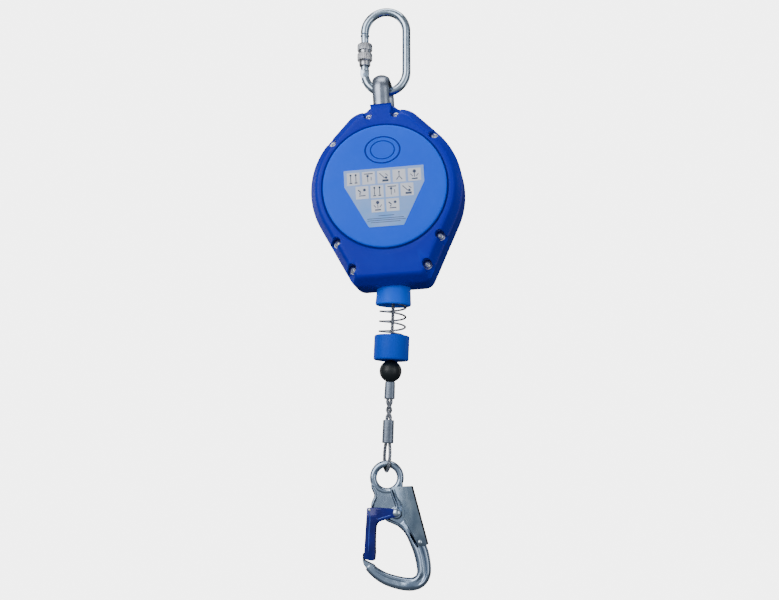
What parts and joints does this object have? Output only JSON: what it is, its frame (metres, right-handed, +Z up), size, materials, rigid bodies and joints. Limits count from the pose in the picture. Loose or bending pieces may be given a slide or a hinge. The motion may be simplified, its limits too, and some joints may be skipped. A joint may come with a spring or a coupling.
{
  "type": "self retracting lifeline",
  "caption": "Self retracting fall-arrest block: blue casing with a sprung cable drum and ratchet brake, hung from an oval karabiner, with a wire rope ending in a double-action snap hook.",
  "frame": {"origin": "the point where the anchor bears, at the inner top of the karabiner", "axes": "+Z up along the hanging casing's axis, -Y towards the casing's labelled front, +X to the right as seen from the front"},
  "size_m": [0.177, 0.0862, 0.6836],
  "materials": {
    "plated_steel": "bright zinc plate",
    "zinc": "bright zinc plate",
    "spring_steel": "polished wire",
    "strap": "satin",
    "alloy": "satin",
    "wire_rope": "galvanised strands",
    "casing_blue": "fine texture",
    "collar_blue": "smooth matte",
    "gate_blue": "gloss",
    "black_rubber": "matte",
    "black_plastic": "matte",
    "label": "satin",
    "bronze": "sintered",
    "lining": "moulded friction lining",
    "thimble_green": "dark coating"
  },
  "bodies": {
    "karabiner": {"karabiner_frame": "plated_steel", "gate_pin": "zinc"},
    "karabiner_gate": {"karabiner_gate": "plated_steel", "gate_latch_pin": "zinc", "gate_plunger": "zinc", "gate_spring": "spring_steel"},
    "lock_sleeve": {"lock_sleeve": "plated_steel"},
    "casing": {"anchor_handle": "strap", "front_casing": "casing_blue", "rear_casing": "casing_blue", "casing_seal": "black_rubber", "casing_screws": "zinc", "casing_nuts": "zinc", "instruction_label": "label", "main_shaft": "zinc", "shaft_nuts": "zinc", "brake_plate": "zinc", "friction_linings": "lining", "pressure_plate": "zinc", "disc_springs": "spring_steel", "retaining_ring": "zinc", "power_spring": "spring_steel", "spring_arbor": "zinc", "rope_guide": "black_plastic", "nozzle_collar": "collar_blue", "buffer_spring": "spring_steel"},
    "ratchet_ring": {"ratchet_ring": "zinc"},
    "drum": {"cable_drum": "alloy", "drum_bushes": "bronze", "wound_rope": "wire_rope", "rope_anchor": "alloy", "pawl_pins": "zinc", "pawl_springs": "spring_steel", "spring_case": "alloy", "spring_cover": "alloy", "case_screws": "zinc"},
    "pawl_a": {"pawl_a": "zinc"},
    "pawl_b": {"pawl_b": "zinc"},
    "buffer_sleeve": {"buffer_sleeve": "collar_blue"},
    "line": {"ball_stop": "black_rubber", "upper_ferrule": "alloy", "lower_ferrule": "alloy", "lifeline_rope": "wire_rope", "rope_eye": "wire_rope", "thimble": "thimble_green"},
    "hook": {"hook_body": "zinc", "gate_rivet": "plated_steel", "lever_rivet": "plated_steel", "hook_gate_spring": "spring_steel", "lever_spring": "spring_steel"},
    "hook_gate": {"hook_gate": "gate_blue"},
    "hook_lever": {"hook_lever": "zinc"}
  },
  "joints": [
    {"name": "karabiner_gate_swing", "type": "hinge", "parent": "karabiner", "child": "karabiner_gate", "pos_m": [-0.02891, 0, -0.07154], "axis": [0, 1, 0], "range_deg": [0, 28], "stiffness_Nm_per_rad": 0.05, "springref_deg": -28.65},
    {"name": "lock_sleeve_travel", "type": "slide", "parent": "karabiner_gate", "child": "lock_sleeve", "axis": [0.0541, 0, 0.9985], "range_m": [0, 0.014]},
    {"name": "casing_swing", "type": "hinge", "parent": "karabiner", "child": "casing", "pos_m": [-0.0078, 0, -0.09457], "axis": [1, 0, 0], "range_deg": [-60, 60]},
    {"name": "brake_slip", "type": "hinge", "parent": "casing", "child": "ratchet_ring", "pos_m": [-0.0078, 0, -0.2185], "axis": [0, 1, 0], "range_deg": [0, 120]},
    {"name": "drum_spin", "type": "hinge", "parent": "casing", "child": "drum", "pos_m": [-0.0078, 0, -0.2185], "axis": [0, 1, 0], "range_deg": [0, 480.5]},
    {"name": "pawl_a_swing", "type": "hinge", "parent": "drum", "child": "pawl_a", "pos_m": [-0.0078, -0.017, -0.1735], "axis": [0, -1, 0], "range_deg": [0, 12], "stiffness_Nm_per_rad": 0.02, "springref_deg": -17.19},
    {"name": "pawl_b_swing", "type": "hinge", "parent": "drum", "child": "pawl_b", "pos_m": [-0.0078, -0.017, -0.2635], "axis": [0, -1, 0], "range_deg": [0, 12]},
    {"name": "buffer_travel", "type": "slide", "parent": "casing", "child": "buffer_sleeve", "axis": [0.0941, 0, 0.9956], "range_m": [0, 0.012], "stiffness_N_per_m": 2000, "springref_m": -0.005, "deforming": ["buffer_spring"]},
    {"name": "line_payout", "type": "slide", "parent": "casing", "child": "line", "axis": [-0.0941, 0, -0.9956], "range_m": [0, 0.5], "stiffness_N_per_m": 20, "springref_m": -2, "deforming": ["lifeline_rope"]},
    {"name": "hook_swing", "type": "hinge", "parent": "line", "child": "hook", "pos_m": [-0.027, 0, -0.5316], "axis": [0.9985, 0, -0.0541], "range_deg": [-50, 50]},
    {"name": "hook_gate_swing", "type": "hinge", "parent": "hook", "child": "hook_gate", "pos_m": [-0.01859, 0, -0.58713], "axis": [0, -1, 0], "range_deg": [0, 22], "stiffness_Nm_per_rad": 0.06, "springref_deg": -34.38},
    {"name": "hook_lever_squeeze", "type": "hinge", "parent": "hook", "child": "hook_lever", "pos_m": [0.00654, 0, -0.62054], "axis": [0, -1, 0], "range_deg": [0, 3.5], "stiffness_Nm_per_rad": 0.2, "springref_deg": -17.19}
  ],
  "couplings": [
    {"joint": "drum_spin", "follows": "line_payout", "rad_per_m": 16.756},
    {"joint": "pawl_b_swing", "follows": "pawl_a_swing", "ratio": 1}
  ]
}
